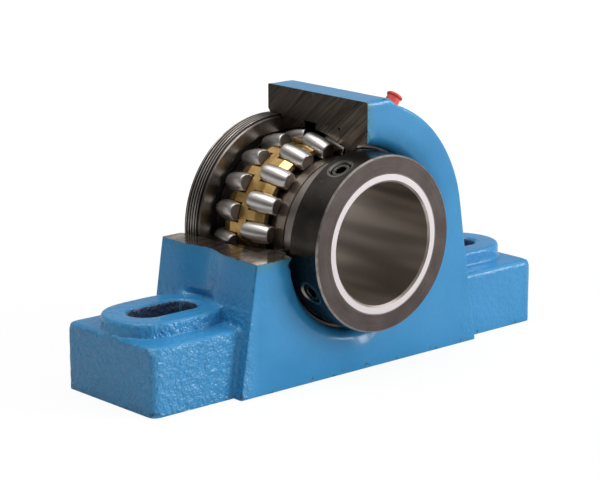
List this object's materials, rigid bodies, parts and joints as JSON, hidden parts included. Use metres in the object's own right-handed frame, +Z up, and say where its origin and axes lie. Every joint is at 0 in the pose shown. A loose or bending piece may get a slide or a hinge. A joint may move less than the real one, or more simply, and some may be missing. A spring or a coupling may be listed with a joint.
{
  "type": "pillow block bearing",
  "caption": "Solid-block pillow block bearing cut away to show its double-row spherical roller bearing, with a threaded cover and a set-screw collar.",
  "frame": {"origin": "middle of the base's underside", "axes": "+X along the base, +Y to the back along the shaft axis with the collar at -Y, +Z up"},
  "size_m": [0.318, 0.1193, 0.1667],
  "materials": {
    "blue_paint": "gloss enamel on a rough casting",
    "dark_steel": "dark polished",
    "ring_steel": "ground",
    "seal_rubber": "matte",
    "cage_brass": "machined",
    "black_steel": "black oxide",
    "fitting_steel": "zinc plated",
    "red_plastic": "soft moulded",
    "roller_steel": "ground and polished"
  },
  "bodies": {
    "housing_body": {"housing": "blue_paint", "threaded_cover": "dark_steel", "front_outer_ring": "ring_steel", "rear_outer_ring": "ring_steel", "front_seal": "seal_rubber", "rear_seal": "seal_rubber", "grease_fitting": "fitting_steel"},
    "inner_body": {"inner_ring": "ring_steel", "collar": "black_steel", "set_screw_top": "black_steel", "set_screw_side": "black_steel"},
    "cage_body": {"cage": "cage_brass"},
    "cap_body": {"grease_cap": "red_plastic"},
    "front_roller_01_body": {"front_roller_01": "roller_steel"},
    "front_roller_02_body": {"front_roller_02": "roller_steel"},
    "front_roller_03_body": {"front_roller_03": "roller_steel"},
    "front_roller_04_body": {"front_roller_04": "roller_steel"},
    "front_roller_05_body": {"front_roller_05": "roller_steel"},
    "front_roller_06_body": {"front_roller_06": "roller_steel"},
    "front_roller_07_body": {"front_roller_07": "roller_steel"},
    "front_roller_08_body": {"front_roller_08": "roller_steel"},
    "front_roller_09_body": {"front_roller_09": "roller_steel"},
    "front_roller_10_body": {"front_roller_10": "roller_steel"},
    "front_roller_11_body": {"front_roller_11": "roller_steel"},
    "front_roller_12_body": {"front_roller_12": "roller_steel"},
    "front_roller_13_body": {"front_roller_13": "roller_steel"},
    "front_roller_14_body": {"front_roller_14": "roller_steel"},
    "front_roller_15_body": {"front_roller_15": "roller_steel"},
    "front_roller_16_body": {"front_roller_16": "roller_steel"},
    "front_roller_17_body": {"front_roller_17": "roller_steel"},
    "front_roller_18_body": {"front_roller_18": "roller_steel"},
    "rear_roller_01_body": {"rear_roller_01": "roller_steel"},
    "rear_roller_02_body": {"rear_roller_02": "roller_steel"},
    "rear_roller_03_body": {"rear_roller_03": "roller_steel"},
    "rear_roller_04_body": {"rear_roller_04": "roller_steel"},
    "rear_roller_05_body": {"rear_roller_05": "roller_steel"},
    "rear_roller_06_body": {"rear_roller_06": "roller_steel"},
    "rear_roller_07_body": {"rear_roller_07": "roller_steel"},
    "rear_roller_08_body": {"rear_roller_08": "roller_steel"},
    "rear_roller_09_body": {"rear_roller_09": "roller_steel"},
    "rear_roller_10_body": {"rear_roller_10": "roller_steel"},
    "rear_roller_11_body": {"rear_roller_11": "roller_steel"},
    "rear_roller_12_body": {"rear_roller_12": "roller_steel"},
    "rear_roller_13_body": {"rear_roller_13": "roller_steel"},
    "rear_roller_14_body": {"rear_roller_14": "roller_steel"},
    "rear_roller_15_body": {"rear_roller_15": "roller_steel"},
    "rear_roller_16_body": {"rear_roller_16": "roller_steel"},
    "rear_roller_17_body": {"rear_roller_17": "roller_steel"},
    "rear_roller_18_body": {"rear_roller_18": "roller_steel"}
  },
  "joints": [
    {"name": "shaft_spin", "type": "hinge", "parent": "housing_body", "child": "inner_body", "pos_m": [0, 0.003, 0.08255], "axis": [0, -1, 0], "continuous": true},
    {"name": "cage_spin", "type": "hinge", "parent": "housing_body", "child": "cage_body", "pos_m": [0, 0.003, 0.08255], "axis": [0, -1, 0], "continuous": true},
    {"name": "front_roller_01_spin", "type": "hinge", "parent": "cage_body", "child": "front_roller_01_body", "pos_m": [0.05131, -0.01106, 0.09515], "axis": [-0.2497, -0.9664, -0.0613], "continuous": true},
    {"name": "front_roller_02_spin", "type": "hinge", "parent": "cage_body", "child": "front_roller_02_body", "pos_m": [0.04391, -0.01106, 0.11194], "axis": [-0.2137, -0.9664, -0.143], "continuous": true},
    {"name": "front_roller_03_spin", "type": "hinge", "parent": "cage_body", "child": "front_roller_03_body", "pos_m": [0.03121, -0.01106, 0.12519], "axis": [-0.1519, -0.9664, -0.2075], "continuous": true},
    {"name": "front_roller_04_spin", "type": "hinge", "parent": "cage_body", "child": "front_roller_04_body", "pos_m": [0.01474, -0.01106, 0.13329], "axis": [-0.0717, -0.9664, -0.2469], "continuous": true},
    {"name": "front_roller_05_spin", "type": "hinge", "parent": "cage_body", "child": "front_roller_05_body", "pos_m": [-0.0035, -0.01106, 0.13527], "axis": [0.017, -0.9664, -0.2566], "continuous": true},
    {"name": "front_roller_06_spin", "type": "hinge", "parent": "cage_body", "child": "front_roller_06_body", "pos_m": [-0.02132, -0.01106, 0.13089], "axis": [0.1038, -0.9664, -0.2353], "continuous": true},
    {"name": "front_roller_07_spin", "type": "hinge", "parent": "cage_body", "child": "front_roller_07_body", "pos_m": [-0.03657, -0.01106, 0.12069], "axis": [0.178, -0.9664, -0.1856], "continuous": true},
    {"name": "front_roller_08_spin", "type": "hinge", "parent": "cage_body", "child": "front_roller_08_body", "pos_m": [-0.04741, -0.01106, 0.10588], "axis": [0.2307, -0.9664, -0.1135], "continuous": true},
    {"name": "front_roller_09_spin", "type": "hinge", "parent": "cage_body", "child": "front_roller_09_body", "pos_m": [-0.05253, -0.01106, 0.08826], "axis": [0.2556, -0.9664, -0.0278], "continuous": true},
    {"name": "front_roller_10_spin", "type": "hinge", "parent": "cage_body", "child": "front_roller_10_body", "pos_m": [-0.05131, -0.01106, 0.06995], "axis": [0.2497, -0.9664, 0.0613], "continuous": true},
    {"name": "front_roller_11_spin", "type": "hinge", "parent": "cage_body", "child": "front_roller_11_body", "pos_m": [-0.04391, -0.01106, 0.05316], "axis": [0.2137, -0.9664, 0.143], "continuous": true},
    {"name": "front_roller_12_spin", "type": "hinge", "parent": "cage_body", "child": "front_roller_12_body", "pos_m": [-0.03121, -0.01106, 0.03991], "axis": [0.1519, -0.9664, 0.2075], "continuous": true},
    {"name": "front_roller_13_spin", "type": "hinge", "parent": "cage_body", "child": "front_roller_13_body", "pos_m": [-0.01474, -0.01106, 0.03181], "axis": [0.0717, -0.9664, 0.2469], "continuous": true},
    {"name": "front_roller_14_spin", "type": "hinge", "parent": "cage_body", "child": "front_roller_14_body", "pos_m": [0.0035, -0.01106, 0.02983], "axis": [-0.017, -0.9664, 0.2566], "continuous": true},
    {"name": "front_roller_15_spin", "type": "hinge", "parent": "cage_body", "child": "front_roller_15_body", "pos_m": [0.02132, -0.01106, 0.03421], "axis": [-0.1038, -0.9664, 0.2353], "continuous": true},
    {"name": "front_roller_16_spin", "type": "hinge", "parent": "cage_body", "child": "front_roller_16_body", "pos_m": [0.03657, -0.01106, 0.04441], "axis": [-0.178, -0.9664, 0.1856], "continuous": true},
    {"name": "front_roller_17_spin", "type": "hinge", "parent": "cage_body", "child": "front_roller_17_body", "pos_m": [0.04741, -0.01106, 0.05922], "axis": [-0.2307, -0.9664, 0.1135], "continuous": true},
    {"name": "front_roller_18_spin", "type": "hinge", "parent": "cage_body", "child": "front_roller_18_body", "pos_m": [0.05253, -0.01106, 0.07684], "axis": [-0.2556, -0.9664, 0.0278], "continuous": true},
    {"name": "rear_roller_01_spin", "type": "hinge", "parent": "cage_body", "child": "rear_roller_01_body", "pos_m": [0.04834, 0.01706, 0.10387], "axis": [0.2353, -0.9664, 0.1038], "continuous": true},
    {"name": "rear_roller_02_spin", "type": "hinge", "parent": "cage_body", "child": "rear_roller_02_body", "pos_m": [0.03814, 0.01706, 0.11912], "axis": [0.1856, -0.9664, 0.178], "continuous": true},
    {"name": "rear_roller_03_spin", "type": "hinge", "parent": "cage_body", "child": "rear_roller_03_body", "pos_m": [0.02333, 0.01706, 0.12996], "axis": [0.1135, -0.9664, 0.2307], "continuous": true},
    {"name": "rear_roller_04_spin", "type": "hinge", "parent": "cage_body", "child": "rear_roller_04_body", "pos_m": [0.00571, 0.01706, 0.13508], "axis": [0.0278, -0.9664, 0.2556], "continuous": true},
    {"name": "rear_roller_05_spin", "type": "hinge", "parent": "cage_body", "child": "rear_roller_05_body", "pos_m": [-0.0126, 0.01706, 0.13386], "axis": [-0.0613, -0.9664, 0.2497], "continuous": true},
    {"name": "rear_roller_06_spin", "type": "hinge", "parent": "cage_body", "child": "rear_roller_06_body", "pos_m": [-0.02939, 0.01706, 0.12646], "axis": [-0.143, -0.9664, 0.2137], "continuous": true},
    {"name": "rear_roller_07_spin", "type": "hinge", "parent": "cage_body", "child": "rear_roller_07_body", "pos_m": [-0.04264, 0.01706, 0.11376], "axis": [-0.2075, -0.9664, 0.1519], "continuous": true},
    {"name": "rear_roller_08_spin", "type": "hinge", "parent": "cage_body", "child": "rear_roller_08_body", "pos_m": [-0.05074, 0.01706, 0.09729], "axis": [-0.2469, -0.9664, 0.0717], "continuous": true},
    {"name": "rear_roller_09_spin", "type": "hinge", "parent": "cage_body", "child": "rear_roller_09_body", "pos_m": [-0.05272, 0.01706, 0.07905], "axis": [-0.2566, -0.9664, -0.017], "continuous": true},
    {"name": "rear_roller_10_spin", "type": "hinge", "parent": "cage_body", "child": "rear_roller_10_body", "pos_m": [-0.04834, 0.01706, 0.06123], "axis": [-0.2353, -0.9664, -0.1038], "continuous": true},
    {"name": "rear_roller_11_spin", "type": "hinge", "parent": "cage_body", "child": "rear_roller_11_body", "pos_m": [-0.03814, 0.01706, 0.04598], "axis": [-0.1856, -0.9664, -0.178], "continuous": true},
    {"name": "rear_roller_12_spin", "type": "hinge", "parent": "cage_body", "child": "rear_roller_12_body", "pos_m": [-0.02333, 0.01706, 0.03514], "axis": [-0.1135, -0.9664, -0.2307], "continuous": true},
    {"name": "rear_roller_13_spin", "type": "hinge", "parent": "cage_body", "child": "rear_roller_13_body", "pos_m": [-0.00571, 0.01706, 0.03002], "axis": [-0.0278, -0.9664, -0.2556], "continuous": true},
    {"name": "rear_roller_14_spin", "type": "hinge", "parent": "cage_body", "child": "rear_roller_14_body", "pos_m": [0.0126, 0.01706, 0.03124], "axis": [0.0613, -0.9664, -0.2497], "continuous": true},
    {"name": "rear_roller_15_spin", "type": "hinge", "parent": "cage_body", "child": "rear_roller_15_body", "pos_m": [0.02939, 0.01706, 0.03864], "axis": [0.143, -0.9664, -0.2137], "continuous": true},
    {"name": "rear_roller_16_spin", "type": "hinge", "parent": "cage_body", "child": "rear_roller_16_body", "pos_m": [0.04264, 0.01706, 0.05134], "axis": [0.2075, -0.9664, -0.1519], "continuous": true},
    {"name": "rear_roller_17_spin", "type": "hinge", "parent": "cage_body", "child": "rear_roller_17_body", "pos_m": [0.05074, 0.01706, 0.06781], "axis": [0.2469, -0.9664, -0.0717], "continuous": true},
    {"name": "rear_roller_18_spin", "type": "hinge", "parent": "cage_body", "child": "rear_roller_18_body", "pos_m": [0.05272, 0.01706, 0.08605], "axis": [0.2566, -0.9664, 0.017], "continuous": true},
    {"name": "cap_pull", "type": "slide", "parent": "housing_body", "child": "cap_body", "axis": [0.6157, 0, 0.788], "range_m": [0, 0.02]}
  ],
  "couplings": [
    {"joint": "cage_spin", "follows": "shaft_spin", "ratio": 0.4433},
    {"joint": "front_roller_01_spin", "follows": "shaft_spin", "ratio": -4.2062},
    {"joint": "front_roller_02_spin", "follows": "shaft_spin", "ratio": -4.2062},
    {"joint": "front_roller_03_spin", "follows": "shaft_spin", "ratio": -4.2062},
    {"joint": "front_roller_04_spin", "follows": "shaft_spin", "ratio": -4.2062},
    {"joint": "front_roller_05_spin", "follows": "shaft_spin", "ratio": -4.2062},
    {"joint": "front_roller_06_spin", "follows": "shaft_spin", "ratio": -4.2062},
    {"joint": "front_roller_07_spin", "follows": "shaft_spin", "ratio": -4.2062},
    {"joint": "front_roller_08_spin", "follows": "shaft_spin", "ratio": -4.2062},
    {"joint": "front_roller_09_spin", "follows": "shaft_spin", "ratio": -4.2062},
    {"joint": "front_roller_10_spin", "follows": "shaft_spin", "ratio": -4.2062},
    {"joint": "front_roller_11_spin", "follows": "shaft_spin", "ratio": -4.2062},
    {"joint": "front_roller_12_spin", "follows": "shaft_spin", "ratio": -4.2062},
    {"joint": "front_roller_13_spin", "follows": "shaft_spin", "ratio": -4.2062},
    {"joint": "front_roller_14_spin", "follows": "shaft_spin", "ratio": -4.2062},
    {"joint": "front_roller_15_spin", "follows": "shaft_spin", "ratio": -4.2062},
    {"joint": "front_roller_16_spin", "follows": "shaft_spin", "ratio": -4.2062},
    {"joint": "front_roller_17_spin", "follows": "shaft_spin", "ratio": -4.2062},
    {"joint": "front_roller_18_spin", "follows": "shaft_spin", "ratio": -4.2062},
    {"joint": "rear_roller_01_spin", "follows": "shaft_spin", "ratio": -4.2062},
    {"joint": "rear_roller_02_spin", "follows": "shaft_spin", "ratio": -4.2062},
    {"joint": "rear_roller_03_spin", "follows": "shaft_spin", "ratio": -4.2062},
    {"joint": "rear_roller_04_spin", "follows": "shaft_spin", "ratio": -4.2062},
    {"joint": "rear_roller_05_spin", "follows": "shaft_spin", "ratio": -4.2062},
    {"joint": "rear_roller_06_spin", "follows": "shaft_spin", "ratio": -4.2062},
    {"joint": "rear_roller_07_spin", "follows": "shaft_spin", "ratio": -4.2062},
    {"joint": "rear_roller_08_spin", "follows": "shaft_spin", "ratio": -4.2062},
    {"joint": "rear_roller_09_spin", "follows": "shaft_spin", "ratio": -4.2062},
    {"joint": "rear_roller_10_spin", "follows": "shaft_spin", "ratio": -4.2062},
    {"joint": "rear_roller_11_spin", "follows": "shaft_spin", "ratio": -4.2062},
    {"joint": "rear_roller_12_spin", "follows": "shaft_spin", "ratio": -4.2062},
    {"joint": "rear_roller_13_spin", "follows": "shaft_spin", "ratio": -4.2062},
    {"joint": "rear_roller_14_spin", "follows": "shaft_spin", "ratio": -4.2062},
    {"joint": "rear_roller_15_spin", "follows": "shaft_spin", "ratio": -4.2062},
    {"joint": "rear_roller_16_spin", "follows": "shaft_spin", "ratio": -4.2062},
    {"joint": "rear_roller_17_spin", "follows": "shaft_spin", "ratio": -4.2062},
    {"joint": "rear_roller_18_spin", "follows": "shaft_spin", "ratio": -4.2062}
  ]
}
